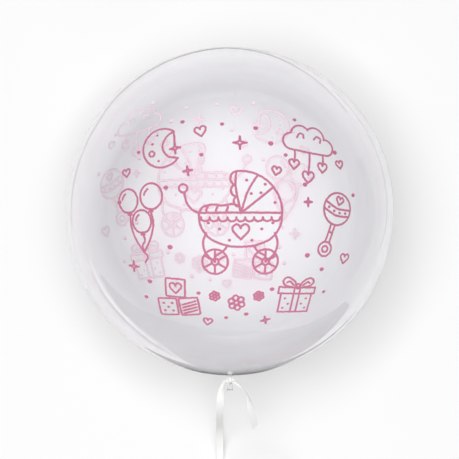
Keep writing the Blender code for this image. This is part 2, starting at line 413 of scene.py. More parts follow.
# %% Tie
TIE_CORNER = 2.2 * MM
TIE_CORNER_STEPS = 6
TIE_SLACK = 0.5 * MM


def make_tie():
    size = tie_high - tie_low
    builder = bmesh.new()
    own_mm = builder.verts.layers.float_vector.new("ribbon_mm")
    bmesh.ops.create_grid(builder, x_segments=1, y_segments=1, size=0.5)
    bmesh.ops.scale(builder, vec=(size.y - 2 * TIE_SLACK, size.z - 2 * TIE_SLACK, 1), verts=builder.verts)
    bmesh.ops.bevel(
        builder,
        geom=list(builder.verts),
        offset=TIE_CORNER,
        affect="VERTICES",
        segments=TIE_CORNER_STEPS,
        profile=0.5,
        material=-1,
    )
    bmesh.ops.delete(builder, geom=list(builder.faces), context="FACES_ONLY")
    stand_up = Matrix(((0, 0, 1, 0), (1, 0, 0, 0), (0, 1, 0, 0), (0, 0, 0, 1)))
    bmesh.ops.transform(builder, matrix=stand_up, verts=builder.verts)
    grown = bmesh.ops.extrude_edge_only(builder, edges=list(builder.edges))["geom"]
    moved = [part for part in grown if isinstance(part, bmesh.types.BMVert)]
    bmesh.ops.translate(builder, vec=(size.x, 0, 0), verts=moved)
    middle = (tie_low + tie_high) / 2 - Vector((size.x / 2, 0, 0))
    for vertex in builder.verts:
        vertex[own_mm] = (vertex.co.x / MM, math.atan2(vertex.co.z, vertex.co.y) * 6, 0)
    bmesh.ops.translate(builder, vec=middle, verts=builder.verts)
    bmesh.ops.recalc_face_normals(builder, faces=builder.faces)
    tie = finish_piece("coil_tie_loop", builder, ribbon_material)
    wall = tie.modifiers.new("wall", "SOLIDIFY")
    wall.thickness = RIBBON_THICKNESS
    wall.offset = 0
    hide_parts("coil_tie")
    return tie


tie_loop = make_tie()

# %% [markdown]
# ## The knot
#
# The ribbon is wound twice round the gathered neck and hitched on the upper side. Wound this tight it
# crumples lengthways, so each wrap shows a few ridges that run round the neck. A short strap of ribbon
# passes over the hitch.

# %% Wraps round the neck
NECK_RADIUS = 3.2 * MM
KNOT_LENGTH = knot_high.y - knot_low.y
KNOT_RADIUS = CENTRE_HEIGHT - knot_low.z
KNOT_WRAPS = 2
WRAP_POINTS = 14
RIDGES_A_WRAP = 3
RIDGE_HEIGHT = 0.16 * MM
WRAP_STEPS = 72
WRAP_GAP_INSIDE = 0.15 * MM
WRAP_EDGE = 0.3 * MM
BEAD_DEPTH = 0.9 * MM
BEAD_SWELL = 0.8 * MM
NECK_TO_MINUS_Y = Matrix.Rotation(-math.pi / 2, 4, "X")


def wrap_profile():
    """The knot's section: a bead for each wrap, crumpled into ridges."""
    inner = NECK_RADIUS + WRAP_GAP_INSIDE
    bead = KNOT_LENGTH / KNOT_WRAPS
    waist = KNOT_RADIUS - BEAD_DEPTH
    points = [(inner, KNOT_LENGTH / 2 - WRAP_EDGE)]
    for wrap in range(KNOT_WRAPS):
        for i in range(WRAP_POINTS):
            share = (i + 0.5) / WRAP_POINTS
            swell = BEAD_SWELL * math.sin(share * math.pi) ** 0.6
            ridge = RIDGE_HEIGHT * math.cos(2 * math.pi * RIDGES_A_WRAP * share)
            points.append((waist + swell + ridge, KNOT_LENGTH / 2 - (wrap + share) * bead))
    points.append((inner, -KNOT_LENGTH / 2 + WRAP_EDGE))
    return points


def make_wraps():
    builder = bmesh.new()
    verts = [builder.verts.new((radius, 0, height)) for radius, height in wrap_profile()]
    edges = [builder.edges.new(pair) for pair in zip(verts, verts[1:] + verts[:1])]
    bmesh.ops.spin(
        builder,
        geom=verts + edges,
        axis=(0, 0, 1),
        cent=(0, 0, 0),
        angle=2 * math.pi,
        steps=WRAP_STEPS,
        use_merge=True,
    )
    own_mm = builder.verts.layers.float_vector.new("ribbon_mm")
    for vertex in builder.verts:
        turn = math.atan2(vertex.co.y, vertex.co.x)
        squeeze = 1 + 0.025 * math.cos(3 * turn + 0.8) + 0.02 * math.cos(7 * turn + vertex.co.z / MM)
        if math.hypot(vertex.co.x, vertex.co.y) > NECK_RADIUS + 0.5 * MM:
            vertex.co.xy *= squeeze
            vertex.co.z += 0.25 * MM * math.sin(turn * 2 + 0.5)
        vertex[own_mm] = (vertex.co.z / MM, turn * KNOT_RADIUS / MM, 0)
    bmesh.ops.transform(builder, matrix=Matrix.Translation(KNOT_CENTRE) @ NECK_TO_MINUS_Y, verts=builder.verts)
    bmesh.ops.recalc_face_normals(builder, faces=builder.faces)
    wraps = finish_piece("knot_wraps", builder, ribbon_material, sharp_degrees=60)
    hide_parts("ribbon_knot")


make_wraps()

# %% The hitch and the strap over it
HITCH_SIZE = Vector((12.6, 9.0, 7.0)) * MM
HITCH_OFFSET = Vector((0.5, 1.6, 0.6)) * MM
FOLD_HEIGHT = 0.28 * MM
FOLDS_PER_MM = 0.55
FOLD_SLANTS = (0.45, 0.3)
STRAP_CUP = math.radians(250)
STRAP_ROUTE = [
    (0.0006, 0.0040, -0.0015, 0),
    (0.0006, 0.0045, 0.0010, 0),
    (0.0003, 0.0030, 0.0030, 0),
    (0.0000, 0.0000, 0.0036, 0),
    (-0.0003, -0.0030, 0.0030, 0),
    (-0.0006, -0.0044, 0.0010, 0),
    (-0.0006, -0.0040, -0.0015, 0),
]


def make_hitch():
    """A small cushion of folded ribbon: a scaled sphere, pressed into slanting folds."""
    builder = bmesh.new()
    bmesh.ops.create_uvsphere(builder, u_segments=48, v_segments=24, radius=0.5)
    own_mm = builder.verts.layers.float_vector.new("ribbon_mm")
    for vertex in builder.verts:
        outward = vertex.co.normalized()
        place = Vector([a * b for a, b in zip(vertex.co, HITCH_SIZE)])
        across_folds = (place.y + FOLD_SLANTS[0] * place.x + FOLD_SLANTS[1] * place.z) / MM
        fold = math.sin(2 * math.pi * FOLDS_PER_MM * across_folds)
        vertex.co = place + outward * FOLD_HEIGHT * fold * (1 - outward.x**2)
        vertex[own_mm] = (place.y / MM, place.x / MM, 0)
    top = KNOT_CENTRE + Vector((0, 0, KNOT_RADIUS))
    bmesh.ops.translate(builder, vec=top + HITCH_OFFSET, verts=builder.verts)
    return finish_piece("knot_hitch", builder, ribbon_material, sharp_degrees=80)


def make_strap():
    top = KNOT_CENTRE + Vector((0, 0, KNOT_RADIUS))
    route = [(top.x + x, top.y - out, top.z + up, turn) for x, out, up, turn in STRAP_ROUTE]
    builder = ribbon_strip(through_points(route, 4), lambda along: STRAP_CUP)[0]
    return finish_piece("knot_strap", builder, ribbon_material)


make_hitch()
make_strap()

# %% [markdown]
# ## The film
#
# The balloon is blown from clear thermoplastic polyurethane film. Its wall is about 0.2 mm thick, so it
# bends light hardly at all: what shows is the gloss on it, faint in the middle and strong at the rim, and a
# slight grey-blue haze. It needs a real wall with an inside and an outside, or the light bends as in a
# glass ball. A profile is spun round the neck's axis, pulled into puckers where the neck gathers it,
# pressed flat where it lies on the floor, and given its wall by Solidify.
#
# A lamp's rays can't find their way through clear film, which would leave a black shadow. So to such a
# ray the film is a plain tint: clear in the middle, and darker the more aslant the ray meets it, which
# gives the soft grey ring round the balloon. Light bounced off the floor passes the film for the same reason.

# %% Clear film
FILM_IOR = 1.5
FILM_TINT = "#FCFCFE"
FILM_ROUGHNESS = 0.02
SHADOW_MIDDLE = "#FFFFFF"
SHADOW_EDGE = "#101012"
SHADOW_BLEND = 0.42
SHADOW_STEEPNESS = 1.6


def make_film_material():
    material, tree = new_material("clear_polyurethane_film")
    film = add_node(
        tree,
        "ShaderNodeBsdfPrincipled",
        inputs={
            "Base Color": linear(FILM_TINT),
            "Roughness": FILM_ROUGHNESS,
            "IOR": FILM_IOR,
            "Transmission Weight": 1.0,
        },
    )
    facing = add_node(tree, "ShaderNodeLayerWeight", inputs={"Blend": SHADOW_BLEND})
    aslant = add_node(
        tree, "ShaderNodeMath", {"operation": "POWER"}, {1: SHADOW_STEEPNESS}, {0: facing.outputs["Facing"]}
    )
    shade = add_node(
        tree,
        "ShaderNodeMix",
        {"data_type": "RGBA"},
        {6: linear(SHADOW_MIDDLE), 7: linear(SHADOW_EDGE)},
        {"Factor": aslant.outputs[0]},
    )
    clear = add_node(tree, "ShaderNodeBsdfTransparent", links={"Color": shade.outputs[2]})
    path = add_node(tree, "ShaderNodeLightPath")
    mix = add_node(
        tree,
        "ShaderNodeMixShader",
        links={0: path.outputs["Is Shadow Ray"], 1: film.outputs[0], 2: clear.outputs[0]},
    )
    add_node(tree, "ShaderNodeOutputMaterial", links={"Surface": mix.outputs[0]})
    return material


film_material = make_film_material()
print(f"{film_material.name}: roughness {FILM_ROUGHNESS}")

# %% The bubble's profile
NECK_FILLET = 2.5 * MM
FILM_WALL = 0.2 * MM
FILM_STEPS = 216
ARC_STEPS = 130
FILLET_STEPS = 6
FLARE_STEPS = 8
MERGE_DISTANCE = 0.001 * MM
FILM_END_RADIUS = 3.6 * MM
FILM_PLEATS = 8
PLEAT_SHARE = 0.14
FILLET_CENTRE_OUT = NECK_RADIUS + NECK_FILLET
NECK_START = math.sqrt((BUBBLE_RADIUS + NECK_FILLET) ** 2 - FILLET_CENTRE_OUT**2)
NECK_END = -knot_low.y


def arc(centre, radius, start, end, steps):
    """Points on a circle, angles in radians from the +X side towards +Z."""
    turns = [start + (end - start) * i / steps for i in range(steps + 1)]
    return [(centre[0] + radius * math.cos(a), centre[1] + radius * math.sin(a)) for a in turns]


def film_profile():
    """From the far pole round the bubble, in at the neck, through the knot and out at the film's end."""
    touch = math.atan2(-NECK_START, FILLET_CENTRE_OUT)
    bubble = arc((0, 0), BUBBLE_RADIUS, math.pi / 2, touch, ARC_STEPS)
    bubble[0] = (0.0, BUBBLE_RADIUS)
    fillet = arc((FILLET_CENTRE_OUT, -NECK_START), NECK_FILLET, touch + math.pi, math.pi, FILLET_STEPS)
    film_end = -envelope_low.y
    flare = []
    for i in range(FLARE_STEPS + 1):
        share = i / FLARE_STEPS
        swell = (FILM_END_RADIUS - NECK_RADIUS) * math.sin(share * math.pi / 2)
        flare.append((NECK_RADIUS + swell, -NECK_END - share * (film_end - NECK_END)))
    return bubble + fillet[1:] + flare


# %% Spin, pucker and flatten the film
PUCKER_HEIGHT = 0.06 * MM
PUCKER_REACH = 8 * MM
PUCKER_START = 4 * MM
PUCKERS = ((13, 0.4, 0.5), (21, 1.9, 0.3), (34, 4.0, 0.2))
FLAT_SOFTNESS = 0.8 * MM
FLOOR_CLEARANCE = 0.3 * MM
NEAR_FLOOR = 20 * MM


def pucker_film(vertex):
    """Ripple the film round the neck, less and less with distance from it."""
    out = math.hypot(vertex.co.x, vertex.co.y)
    turn = math.atan2(vertex.co.y, vertex.co.x)
    if vertex.co.z < 0 and out > FILLET_CENTRE_OUT and vertex.co.z > -NECK_START:
        reach = BUBBLE_RADIUS * math.asin(min(out / BUBBLE_RADIUS, 1)) - FILLET_CENTRE_OUT
        rise = 1 - math.exp(-reach / PUCKER_START)
        height = PUCKER_HEIGHT * rise * math.exp(-reach / PUCKER_REACH)
        wave = sum(weight * math.cos(count * turn + shift) for count, shift, weight in PUCKERS)
        vertex.co += vertex.co.normalized() * height * wave
    past_knot = -vertex.co.z - NECK_END
    if past_knot > 0:
        share = PLEAT_SHARE * past_knot / (-envelope_low.y - NECK_END)
        vertex.co.xy *= 1 + share * math.cos(FILM_PLEATS * turn)


def rest_on_floor(vertex):
    """Press the underside flat, with a soft edge."""
    above = vertex.co.z - FLOOR_CLEARANCE
    vertex.co.z = FLOOR_CLEARANCE + (above + math.hypot(above, FLAT_SOFTNESS)) / 2


def make_film():
    builder = bmesh.new()
    verts = [builder.verts.new((radius, 0, height)) for radius, height in film_profile()]
    edges = [builder.edges.new(pair) for pair in zip(verts, verts[1:])]
    bmesh.ops.spin(
        builder,
        geom=verts + edges,
        axis=(0, 0, 1),
        cent=(0, 0, 0),
        angle=2 * math.pi,
        steps=FILM_STEPS,
        use_merge=True,
    )
    bmesh.ops.remove_doubles(builder, verts=builder.verts, dist=MERGE_DISTANCE)
    for vertex in builder.verts:
        pucker_film(vertex)
    bmesh.ops.transform(builder, matrix=Matrix.Translation(BUBBLE_CENTRE) @ NECK_TO_MINUS_Y, verts=builder.verts)
    for vertex in builder.verts:
        if vertex.co.z < NEAR_FLOOR:
            rest_on_floor(vertex)
    bmesh.ops.recalc_face_normals(builder, faces=builder.faces)
    film = finish_piece("film_bubble", builder, film_material, sharp_degrees=180)
    wall = film.modifiers.new("wall", "SOLIDIFY")
    wall.thickness = FILM_WALL
    wall.offset = -1
    film.visible_diffuse = False
    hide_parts("balloon_envelope")


make_film()

# %% [markdown]
# In the photo the film's rim stays dark behind the knot. A mirror image of the white ribbon would lighten it,
# so the ribbon is kept out of the film's reflections.

# %% Keep the ribbon out of the film's gloss
for name in ("knot_wraps", "knot_hitch", "knot_strap", "ribbon_long_end", "ribbon_short_end"):
    bpy.data.objects[name].visible_glossy = False
    print(f"{name}: not mirrored in the film")

# %% [markdown]
# ## The print
#
# The picture is screen printed on the flat film before the balloon is made, in pink ink. A line is strong pink
# from outside. From inside it is pale: that pale colour is painted light, which stands in for the light the thin
# ink lets through from behind. So the back print shows through the balloon only faintly. The picture here is a
# generic one: a pram with toys round it, drawn as pen lines on a flat sheet in millimetres, from the picture's
# middle.

# %% Pen lines
PEN_STEP_MM = 1.2


def eased(points, spacing=PEN_STEP_MM):
    """A smooth pen line through the points."""
    first = [2 * a - b for a, b in zip(points[0], points[1])]
    last = [2 * a - b for a, b in zip(points[-1], points[-2])]
    padded = [first, *points, last]
    pen = []
    for before, start, end, after in zip(padded, padded[1:], padded[2:], padded[3:]):
        steps = max(2, round(math.dist(start, end) / spacing))
        for i in range(steps):
            t = i / steps
            pen.append(
                tuple(
                    0.5 * (2 * b + (c - a) * t + (2 * a - 5 * b + 4 * c - d) * t**2
                           + (3 * b - a - 3 * c + d) * t**3)
                    for a, b, c, d in zip(before, start, end, after)
                )
            )
    pen.append(tuple(points[-1]))
    return pen


def ring(x, y, radius, start=0, end=360, tall=1.0):
    """A circle or a part of one, in degrees."""
    steps = max(8, round(radius * abs(end - start) * math.pi / 180 / PEN_STEP_MM))
    turns = [math.radians(start + (end - start) * i / steps) for i in range(steps + 1)]
    return [(x + radius * math.cos(a), y + radius * tall * math.sin(a)) for a in turns]


def corners(*points):
    """Straight pen lines from corner to corner."""
    return [eased([a, b]) for a, b in zip(points, points[1:])]


def dot(x, y, radius):
    """A filled dot, which is a tuple of its middle and radius."""
    return (x, y, radius)


def placed(strokes, x, y, turn=0, size=1.0):
    """The strokes scaled, turned by some degrees and moved."""
    cos, sin = math.cos(math.radians(turn)) * size, math.sin(math.radians(turn)) * size

    def move(px, py):
        return (x + px * cos - py * sin, y + px * sin + py * cos)

    return [
        (*move(*stroke[:2]), stroke[2] * size) if isinstance(stroke, tuple) else [move(*point) for point in stroke]
        for stroke in strokes
    ]


def both_sides(strokes):
    """The strokes and their mirror images in the upright line through 0."""
    return strokes + [[(-px, py) for px, py in stroke] for stroke in strokes]


def scallops(start, end, count, drop):
    """A frill: a row of small hanging arcs from start to end."""
    strokes = []
    for i in range(count):
        middle = (i + 0.5) / count
        half = math.dist(start, end) / count / 2
        x = start[0] + (end[0] - start[0]) * middle
        y = start[1] + (end[1] - start[1]) * middle
        turn = math.degrees(math.atan2(end[1] - start[1], end[0] - start[0]))
        strokes += placed([ring(0, 0, half, 180, 360, drop / half)], x, y, turn)
    return strokes


# %% Small figures
HEART = both_sides([eased([(0, -10), (5, -5.2), (9.2, 0), (9.6, 5.2), (5.6, 8.2), (1.6, 6.6), (0, 3.6)])])
SPARKLE = both_sides([eased([(0, 9), (1.5, 2.2), (9, 0)]), eased([(9, 0), (1.5, -2.2), (0, -9)])])
PETAL = eased([(-1.6, 4), (-4.4, 9.5), (0, 13), (4.4, 9.5), (1.6, 4)])
DAISY = [ring(0, 0, 3.4)] + [stroke for i in range(6) for stroke in placed([PETAL], 0, 0, 60 * i)]


# %% The pram
def pram():
    body = [
        eased([(-56, 0), (-53, -18), (-41, -34), (-20, -43), (0, -45), (20, -43), (41, -34), (53, -18), (56, 0)]),
        eased([(-56, 0), (0, 0.6), (56, 0)]),
        ring(0, 0, 56, 0, 96),
        eased([(0, 0), (-4.2, 20), (-7, 38), (-5.9, 55.7)]),
        eased([(0, 0), (9, 28), (23, 51)]),
        eased([(0, 0), (22, 17), (44, 34.6)]),
        eased([(-56, 0), (-66, 5), (-73, 15), (-76, 27)]),
        ring(-77.5, 33, 5.6),
    ]
    frills = scallops((-5.9, 55), (-7, 37.5), 1, 7) + scallops((-7, 37.5), (-4.8, 22), 1, 7)
    frills += scallops((-4.8, 22), (-1.6, 8.5), 1, 6) + scallops((-53, -6), (53, -6), 9, 5)
    blanket = [eased([(-56, 0), (-50, 8), (-38, 11), (-24, 10), (-12, 12), (-4, 10)])]
    blanket += [eased([(x, 3), (x + 2, 8)]) for x in (-46, -33, -19)]
    springs = both_sides([eased([(17, -43.5), (24, -52), (33, -58), (34, -66)]),
                          eased([(46, -27), (50, -40), (46, -55), (34, -66)])])
    spokes = [[(4.6 * math.cos(a), 4.6 * math.sin(a)), (17 * math.cos(a), 17 * math.sin(a))]
              for a in (math.radians(60 * i + 30) for i in range(6))]
    wheel = [ring(0, 0, 17), ring(0, 0, 4.6)] + [eased(spoke) for spoke in spokes]
    spots = [(-28, -21), (28, -21), (-43, -13), (43, -13), (-15, -36), (15, -36)]
    spots += [(8, 44), (33, 38.5), (46, 14), (14, 26), (27, 27)]
    return (body + frills + blanket + springs + placed(wheel, -34, -66) + placed(wheel, 34, -66)
            + placed(HEART, 0, -24, 0, 1.1) + [dot(x, y, 2.3) for x, y in spots])


# %% The toys and the sky round it
def moon():
    outline = [ring(0, 0, 31, 48, 318), eased([(20.7, 23), (8, 15), (1, 0), (8, -15), (23, -20.7)])]
    hanging = [eased([(20.7, 23), (21, 12), (20.5, 4)])] + placed(SPARKLE, 20.5, -5, 0, 0.9)
    return outline + hanging + [dot(-15, 9, 2.6), ring(-17, -7, 4.2), dot(-7, -20, 2.2), dot(-6, 22, 2)]


def cloud():
    strokes = [
        ring(-26, -3, 12, 100, 270),
        ring(-13, 9, 14, 40, 175),
        ring(9, 9, 15, -2, 140),
        ring(27, -3, 12, -90, 102),
        eased([(-26, -15), (0, -15.6), (27, -15)]),
        eased([(-18, 4), (-15, 10), (-9, 10), (-8, 5)]),
        eased([(8, 6), (13, 11), (19, 8), (18, 3)]),
    ]
    for x, length, size in ((-20, 17, 0.72), (2, 31, 0.85), (23, 15, 0.72)):
        strokes.append(eased([(x, -15.5), (x + 0.7, -15.5 - length / 2), (x, -15.5 - length)]))
        strokes += placed(HEART, x, -15.5 - length - 4 * size, 0, size)
    return strokes


def air_balloons():
    strokes = []
    for x, y, size, foot in ((-19, 31, 16, (-17, 12)), (19, 34, 17, (17, 14)), (1, -1, 15, (1, -18.5))):
        strokes += [ring(x, y, size, tall=1.1), ring(x, y, size * 0.64, 115, 165, 1.1)]
        strokes += placed(corners((-2.6, -1.6), (0, 1.6), (2.6, -1.6), (-2.6, -1.6)), *foot)
    return strokes + [
        eased([(-17, 10), (-17, -8), (-11, -28), (-1, -46)]),
        eased([(17, 12), (19, -6), (12, -27), (0, -46)]),
        eased([(1, -20), (3, -29), (-2, -37), (0, -46), (4, -54), (-1, -62)]),
    ]


def rattle():
    return (
        [ring(0, 26, 23), ring(0, -34, 10.4), ring(0, -34, 4.4)]
        + [eased([(-22.4, y), (0, y - 4.5), (22.4, y)]) for y in (31, 21)]
        + both_sides([eased([(3.4, 3.4), (3.2, -10), (3.6, -24)]), eased([(0, -9), (3.2, -9)])])
        + [dot(x, y, 2.4) for x, y in ((-15, 24.6), (-5, 21.9), (5, 21.9), (15, 24.6))]
        + placed(HEART, 0, 38.5, 0, 0.62)
    )


def toy_blocks():
    square = both_sides([eased([(0, 15.3), (13, 15), (15, 13), (15.3, 0), (15, -13), (13, -15), (0, -15.3)])])
    five_spots = [dot(x, y, 2.6) for x, y in ((-7, 7), (7, 7), (0, 0), (-7, -7), (7, -7))]
    stripes = [eased([(-11, y), (11, y + 5)]) for y in (-12, -6.6, -1.2, 4.2)]
    return (placed(square + five_spots, -17.5, -16) + placed(square + stripes, 17, -16, 3)
            + placed(square + placed(HEART, 0, 0.5, 0, 0.95), -1, 17, -7))


def gift():
    box = corners((-27, 5), (-27, -30), (27, -30), (27, 5))
    lid = corners((-32, 5), (32, 5), (32, 16), (-32, 16), (-32, 5))
    loops = both_sides([eased([(1.5, 17), (8, 27), (20, 33), (27, 27), (22, 19), (10, 16.5)]),
                        eased([(8, 20), (16, 26), (20, 24)]), eased([(5, 15), (5, -29)])])
    spots = [dot(side * x, y, 2.3) for side in (-1, 1) for x, y in ((19, -4), (12, -14), (20, -22))]
    return box + lid + loops + spots + [ring(0, 18, 4)]


# %% The whole picture
BIG_FIGURES = (
    (pram, 4, 6, 0, 0.98),
    (moon, -104, 96, 8, 0.92),
    (cloud, 102, 104, -8, 1.0),
    (air_balloons, -132, -6, 6, 0.95),
    (rattle, 134, -14, -20, 0.98),
    (toy_blocks, -82, -114, 6, 0.9),
    (gift, 84, -112, -6, 0.85),
)
SMALL_FIGURES = (
    (HEART, ((-50, 118, 12, 0.8), (52, 62, -14, 0.62), (-158, 62, 10, 0.62), (158, -62, -12, 0.75),
             (-40, -150, -8, 0.62), (150, 74, 8, 0.62))),
    (SPARKLE, ((4, 100, 0, 1.0), (-66, 62, 10, 0.66), (-146, -72, 0, 0.85), (42, -148, 12, 0.7), (96, 20, 0, 0.6))),
    (DAISY, ((0, -118, 10, 0.9), (-30, -108, 10, 0.55), (30, -108, 10, 0.55))),
)
LOOSE_DOTS = (
    (-20, 128), (26, 122), (46, 100), (-48, 84), (-140, 92), (144, 92), (-96, 40), (92, 44), (-90, -40),
    (96, -52), (120, -74), (-122, -92), (-14, -142), (14, -136), (128, -110), (-130, -118), (-52, -104),
    (48, -98), (-168, 20), (172, 30), (66, 84), (-76, 134), (84, 138),
)


def picture():
    strokes = []
    for draw, x, y, turn, size in BIG_FIGURES:
        strokes += placed(draw(), x, y, turn, size)
    for figure, places in SMALL_FIGURES:
        for place in places:
            strokes += placed(figure, *place)
    return strokes + [dot(x, y, 3.0 + (x + y) % 3 * 0.4) for x, y in LOOSE_DOTS]


print(f"the picture has {len(picture())} pen lines and dots")

# %% [markdown]
# Each pen line becomes a curve with a bevel, which gives the line its width. Its points taper at both ends,
# so the ends are round. The curves are turned into one mesh, pressed to the ink's thickness, and wrapped on
# the bubble: a distance on the flat sheet becomes the same distance along the film. Screen ink lies a little
# unevenly. The mottle is drawn about 2.4 mm across, coarser than the real one, so that it shows.

# %% Ink
PEN_WIDTH = 3.4 * MM
INK_HEIGHT = 0.10 * MM
INK_GAP = 0.03 * MM
INK_OUTSIDE = ("#B66783", "#C07792")
# The ink's inner face is pale pink: painted light for the light that passes the thin ink from behind.
INK_INSIDE_PAINTED_BACKLIGHT = "#F8E2EB"
INK_SHADOW = "#F4EEF0"
INK_ROUGHNESS = 0.5
INK_IOR = 1.45
MOTTLES_A_METRE = 420
ROUND_END = ((1.0, 0.1), (0.9, 0.44), (0.6, 0.8), (0.25, 0.97))


def make_ink_material():
    material, tree = new_material("pink_screen_ink")
    side = add_node(tree, "ShaderNodeAttribute", {"attribute_name": "ink_outside"})
    place = add_node(tree, "ShaderNodeTexCoord")
    mottle = add_node(
        tree,
        "ShaderNodeTexNoise",
        inputs={"Scale": MOTTLES_A_METRE, "Detail": 2.0},
        links={"Vector": place.outputs["Object"]},
    )
    pink = add_node(
        tree,
        "ShaderNodeMix",
        {"data_type": "RGBA"},
        {6: linear(INK_OUTSIDE[0]), 7: linear(INK_OUTSIDE[1])},
        {"Factor": mottle.outputs["Fac"]},
    )
    # Outer faces are pink; inner faces take the pale colour that is painted light from behind.
    seen = add_node(
        tree,
        "ShaderNodeMix",
        {"data_type": "RGBA"},
        {6: linear(INK_INSIDE_PAINTED_BACKLIGHT)},
        {"Factor": side.outputs["Fac"], 7: pink.outputs[2]},
    )
    shader = add_node(
        tree,
        "ShaderNodeBsdfPrincipled",
        inputs={"Roughness": INK_ROUGHNESS, "IOR": INK_IOR},
        links={"Base Color": seen.outputs[2]},
    )
    thin = add_node(tree, "ShaderNodeBsdfTransparent", inputs={"Color": linear(INK_SHADOW)})
    path = add_node(tree, "ShaderNodeLightPath")
    mix = add_node(
        tree,
        "ShaderNodeMixShader",
        links={0: path.outputs["Is Shadow Ray"], 1: shader.outputs[0], 2: thin.outputs[0]},
    )
    add_node(tree, "ShaderNodeOutputMaterial", links={"Surface": mix.outputs[0]})
    return material


def pen_points(stroke):
    """Places and widths along a pen line, with its round ends."""
    if isinstance(stroke, tuple):
        x, y, radius = stroke
        size = radius * MM / (PEN_WIDTH / 2)
        left = [((x - radius * out, y), size * wide) for out, wide in ROUND_END]
        right = [((x + radius * out, y), size * wide) for out, wide in reversed(ROUND_END)]
        return left + [((x, y), size)] + right
    half = PEN_WIDTH / 2 / MM

    def end(tip, inner):
        away = Vector(tip) - Vector(inner)
        away.normalize()
        return [(tuple(Vector(tip) + away * half * out), wide) for out, wide in ROUND_END]

    return end(stroke[0], stroke[1]) + [(point, 1.0) for point in stroke] + end(stroke[-1], stroke[-2])[::-1]


def pen_mesh(strokes):
    """All the pen lines as one mesh of flat-lying tubes."""
    curve = bpy.data.curves.new("pen", "CURVE")
    curve.dimensions = "3D"
    curve.twist_mode = "Z_UP"
    curve.bevel_depth = PEN_WIDTH / 2
    curve.bevel_resolution = 1
    curve.use_fill_caps = True
    for stroke in strokes:
        points = pen_points(stroke)
        spline = curve.splines.new("POLY")
        spline.points.add(len(points) - 1)
        for point, ((x, y), wide) in zip(spline.points, points):
            point.co = (x * MM, y * MM, 0, 1)
            point.radius = wide
    pen = bpy.data.objects.new("pen", curve)
    bpy.context.scene.collection.objects.link(pen)
    evaluated = pen.evaluated_get(bpy.context.evaluated_depsgraph_get())
    mesh = bpy.data.meshes.new_from_object(evaluated)
    bpy.data.objects.remove(pen)
    return mesh


# %% Wrap the picture on the front and on the back
FRONT_MIDDLE = (10, -10)
BACK_MIDDLE = (-48, 41)


def wrap_on_bubble(vertex, outside, turned):
    """Move a vertex of the flat picture to its place on the film."""
    reach = math.hypot(vertex.co.x, vertex.co.y)
    share = math.sin(reach / BUBBLE_RADIUS) / max(reach, 1e-9)
    straight_up = Vector((vertex.co.x * share, vertex.co.y * share, math.cos(reach / BUBBLE_RADIUS)))
    outward = turned @ straight_up
    vertex[outside] = 1.0 if vertex.co.z > 0 else 0.0
    lift = INK_GAP + INK_HEIGHT * (0.5 + vertex.co.z / PEN_WIDTH)
    vertex.co = BUBBLE_CENTRE + outward * BUBBLE_RADIUS
    if vertex.co.z < NEAR_FLOOR:
        rest_on_floor(vertex)
    vertex.co += outward * lift


def make_print(name, middle, side):
    """The picture round the point of the film that is seen at middle, in mm from the bubble's centre."""
    x, y = (value * MM for value in middle)
    pole = Vector((0, 0, side))
    target = Vector((x, y, side * math.sqrt(BUBBLE_RADIUS**2 - x * x - y * y)))
    turned = pole.rotation_difference(target).to_matrix()
    if side < 0:
        turned = turned @ Matrix.Rotation(math.pi, 3, "Y")
    builder = bmesh.new()
    builder.from_mesh(pen_mesh(picture()))
    outside = builder.verts.layers.float.new("ink_outside")
    for vertex in builder.verts:
        wrap_on_bubble(vertex, outside, turned)
    return finish_piece(name, builder, ink_material, sharp_degrees=50)


ink_material = make_ink_material()
make_print("front_print", FRONT_MIDDLE, 1)
make_print("back_print", BACK_MIDDLE, -1)

# %% [markdown]
# ## The floor and the light
#
# A pale paper floor, a large soft light above and a little to the upper left, a weak fill from the knot's
# side for the ribbon, and a faint glow inside the bubble, which stands for the light that real film
# scatters inwards. The sky is white. It lights the floor less than it shows in the film, and it shows
# darker near the horizon, as the walls of a studio do.

# %% Floor
FLOOR_WHITE = "#F3F3F3"
FLOOR_HALF = 6


def make_floor():
    material, tree = new_material("pale_paper_backdrop")
    shader = add_node(
        tree,
        "ShaderNodeBsdfPrincipled",
        inputs={"Base Color": linear(FLOOR_WHITE), "Roughness": 0.9, "Specular IOR Level": 0.0},
    )
    add_node(tree, "ShaderNodeOutputMaterial", links={"Surface": shader.outputs[0]})
    builder = bmesh.new()
    bmesh.ops.create_grid(builder, x_segments=1, y_segments=1, size=FLOOR_HALF)
    mesh = bpy.data.meshes.new("floor")
    builder.to_mesh(mesh)
    builder.free()
    mesh.materials.append(material)
    floor = bpy.data.objects.new("floor", mesh)
    bpy.context.scene.collection.objects.link(floor)


make_floor()
print(f"floor: {2 * FLOOR_HALF} m square")

# %% Lights
WORLD_LEVEL = 0.42
REFLECTED_LEVELS = (0.58, 1.02)
SKY_FULL_AT = 0.75
KEY_PLACE = (-0.26, 0.2, 4.2)
KEY_SIZE = 1.8
KEY_WATTS = 116
FRONT_FILL_PLACE = (0.2, -3.0, 0.6)
FRONT_FILL_SIZE = (1.2, 0.8)
FRONT_FILL_WATTS = 24
GLOW_PLACE = (-0.01, 0.14, 0.13)
GLOW_SIZE = (0.28, 0.1)
GLOW_WATTS = 0.04


def aim(placed, target):
    placed.rotation_euler = (Vector(target) - placed.location).to_track_quat("-Z", "Y").to_euler()


def soft_light(name, place, target, width, height, watts):
    lamp = bpy.data.lights.new(name, "AREA")
    lamp.shape = "RECTANGLE"
    lamp.size = width
    lamp.size_y = height
    lamp.energy = watts
    placed = bpy.data.objects.new(name, lamp)
    bpy.context.scene.collection.objects.link(placed)
    placed.location = place
    aim(placed, target)
    placed.visible_camera = False
    placed.visible_transmission = False
    placed.visible_glossy = False
    return placed


